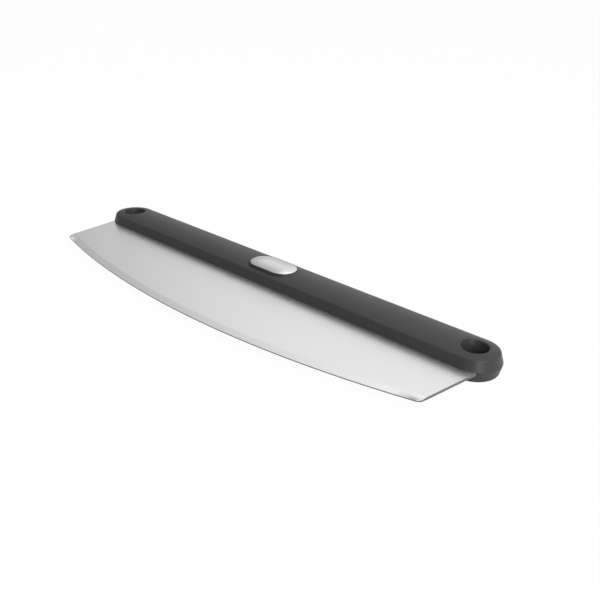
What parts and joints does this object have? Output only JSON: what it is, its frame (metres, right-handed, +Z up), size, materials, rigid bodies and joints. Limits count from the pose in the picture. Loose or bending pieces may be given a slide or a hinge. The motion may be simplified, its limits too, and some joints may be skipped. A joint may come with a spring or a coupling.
{
  "type": "rocking pizza knife",
  "caption": "Two-handed rocking pizza knife: a long steel blade with a curved edge, clamped between the shells of a full-length plastic handle with hanging holes and an oval badge.",
  "frame": {"origin": "centre of the flat underside of the handle, with the knife lying flat", "axes": "+X along the handle, the cutting edge towards -Y, +Z up out of the badge side"},
  "size_m": [0.3798, 0.1061, 0.0175],
  "materials": {
    "handle_plastic": "fine moulded satin",
    "handle_plastic_lower": "fine moulded satin",
    "blade_steel": "satin, ground along its length",
    "screw_steel": "plated",
    "plug_plastic": "fine moulded satin",
    "frame_plastic": "smooth satin",
    "adhesive": "foam tape",
    "badge_metal": "fine satin"
  },
  "bodies": {
    "root": {"handle_top_shell": "handle_plastic", "handle_bottom_shell": "handle_plastic_lower", "blade": "blade_steel", "shell_screws": "screw_steel", "screw_plugs": "plug_plastic", "badge_frame": "frame_plastic", "badge_pad": "adhesive", "badge_plate": "badge_metal"}
  },
  "joints": []
}
